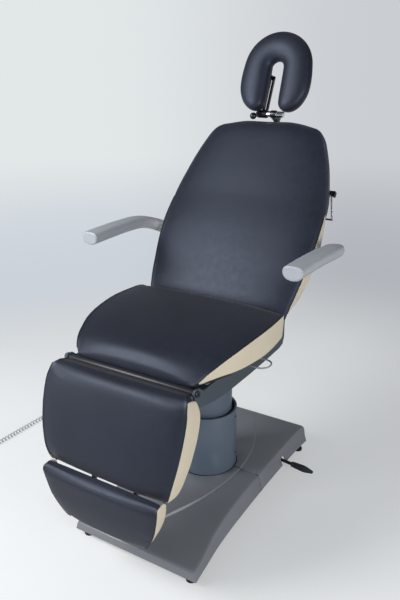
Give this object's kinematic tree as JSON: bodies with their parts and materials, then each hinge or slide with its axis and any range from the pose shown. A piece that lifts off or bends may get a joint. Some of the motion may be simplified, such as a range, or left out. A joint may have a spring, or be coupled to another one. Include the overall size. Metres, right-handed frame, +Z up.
{
  "type": "treatment chair",
  "caption": "Electric beauty treatment chair on a lifting column, with reclining back, swing-up armrests, leg rest, sliding foot rest and horseshoe head cushion.",
  "frame": {"origin": "on the floor, on the axis of the lifting column", "axes": "+Z up; -Y is the chair's front, where the feet go; +X is the right of someone who looks at the chair from its front"},
  "size_m": [1.5095, 1.3629, 1.8212],
  "materials": {
    "cover_grey": "satin lacquer",
    "column_grey": "satin lacquer",
    "frame_black": "satin",
    "slate": "satin",
    "slate_plastic": "satin",
    "black_rubber": "matt",
    "black_plastic": "matt",
    "black_metal": "satin",
    "grip_rubber": "matt",
    "cable_grey": "smooth",
    "steel": "bright zinc",
    "chrome": "polished",
    "anthracite": "fine-grained artificial leather",
    "cream": "fine-grained artificial leather",
    "armrest_grey": "soft foam skin",
    "board": "black-stained plywood"
  },
  "bodies": {
    "base": {"base_cover_front": "cover_grey", "base_cover_rear": "cover_grey", "base_frame": "frame_black", "levelling_feet": "black_rubber", "column_collar": "column_grey", "collar_screws": "black_metal", "guide_ring": "frame_black", "lift_motor": "slate", "pedal_bracket": "frame_black", "lead_gland": "black_plastic", "mains_lead": "cable_grey", "mains_plug": "black_plastic"},
    "pedal": {"pedal_arm": "black_metal", "pedal_grip": "grip_rubber"},
    "lift": {"lift_column": "column_grey", "lift_screw": "steel"},
    "carrier": {"tilt_bracket": "slate", "tilt_pin": "steel"},
    "seat": {"seat_frame": "slate", "seat_board": "board", "seat_cushion": "anthracite", "seat_side_left": "cream", "seat_side_right": "cream", "ring_holder": "cable_grey", "hinge_rod": "steel", "bar_end_caps": "frame_black", "back_hinge_pins": "steel"},
    "leg_rest": {"leg_frame": "frame_black", "leg_shell": "slate_plastic", "leg_cushion": "anthracite", "leg_side_left": "cream", "leg_side_right": "cream"},
    "foot_rest": {"foot_frame": "steel", "foot_shell": "slate_plastic", "foot_cushion": "anthracite", "foot_side_left": "cream", "foot_side_right": "cream"},
    "backrest": {"back_frame": "frame_black", "back_board": "board", "back_cushion": "anthracite", "back_side_left": "cream", "back_side_right": "cream", "back_cover": "slate_plastic", "arm_pins": "steel", "roll_clamps": "black_plastic"},
    "bail": {"roll_bail": "steel"},
    "arm_left": {"armrest_left": "armrest_grey", "arm_hub_left": "frame_black"},
    "arm_right": {"armrest_right": "armrest_grey", "arm_hub_right": "frame_black"},
    "post": {"head_post": "black_metal", "cross_tube": "chrome"},
    "link": {"head_link": "black_metal"},
    "head_rest": {"head_plate": "frame_black", "head_cushion": "anthracite"},
    "lever": {"clamp_lever": "black_metal"}
  },
  "joints": [
    {"name": "lift_slide", "type": "slide", "parent": "base", "child": "lift", "axis": [0, 0, 1], "range_m": [-0.18, 0.06]},
    {"name": "pedal_press", "type": "hinge", "parent": "base", "child": "pedal", "pos_m": [0.205, 0.228, 0.07], "axis": [0, 1, 0], "range_deg": [0, 8], "stiffness_Nm_per_rad": 3, "springref_deg": -22.92},
    {"name": "swivel", "type": "hinge", "parent": "lift", "child": "carrier", "pos_m": [0, 0, 0.59], "axis": [0, 0, 1], "range_deg": [-90, 90]},
    {"name": "seat_tilt", "type": "hinge", "parent": "carrier", "child": "seat", "pos_m": [0, 0, 0.69], "axis": [-1, 0, 0], "range_deg": [0, 12]},
    {"name": "back_recline", "type": "hinge", "parent": "seat", "child": "backrest", "pos_m": [0, 0.125, 0.82], "axis": [-1, 0, 0], "range_deg": [-20, 56]},
    {"name": "leg_raise", "type": "hinge", "parent": "seat", "child": "leg_rest", "pos_m": [0, -0.501, 0.755], "axis": [-1, 0, 0], "range_deg": [-8, 72]},
    {"name": "foot_extend", "type": "slide", "parent": "leg_rest", "child": "foot_rest", "axis": [0, -0.309, -0.9511], "range_m": [0, 0.15]},
    {"name": "arm_left_swing", "type": "hinge", "parent": "backrest", "child": "arm_left", "pos_m": [-0.358, 0.28579, 1.01189], "axis": [-1, 0, 0], "range_deg": [-10, 110]},
    {"name": "arm_right_swing", "type": "hinge", "parent": "backrest", "child": "arm_right", "pos_m": [0.358, 0.28579, 1.01189], "axis": [-1, 0, 0], "range_deg": [-10, 110]},
    {"name": "roll_bail_swing", "type": "hinge", "parent": "backrest", "child": "bail", "pos_m": [0, 0.42447, 1.21749], "axis": [-1, 0, 0], "range_deg": [-20, 20]},
    {"name": "head_height", "type": "slide", "parent": "backrest", "child": "post", "axis": [0, 0.5592, 0.829], "range_m": [0, 0.08]},
    {"name": "head_reach", "type": "hinge", "parent": "post", "child": "link", "pos_m": [-0.05, 0.55745, 1.4969], "axis": [-1, 0, 0], "range_deg": [-10, 20]},
    {"name": "head_tilt", "type": "hinge", "parent": "link", "child": "head_rest", "pos_m": [-0.043, 0.62486, 1.6372], "axis": [-1, 0, 0], "range_deg": [0, 40]},
    {"name": "clamp_turn", "type": "hinge", "parent": "link", "child": "lever", "pos_m": [-0.06, 0.5359, 1.51144], "axis": [0, 0.5592, 0.829], "range_deg": [0, 100]}
  ]
}
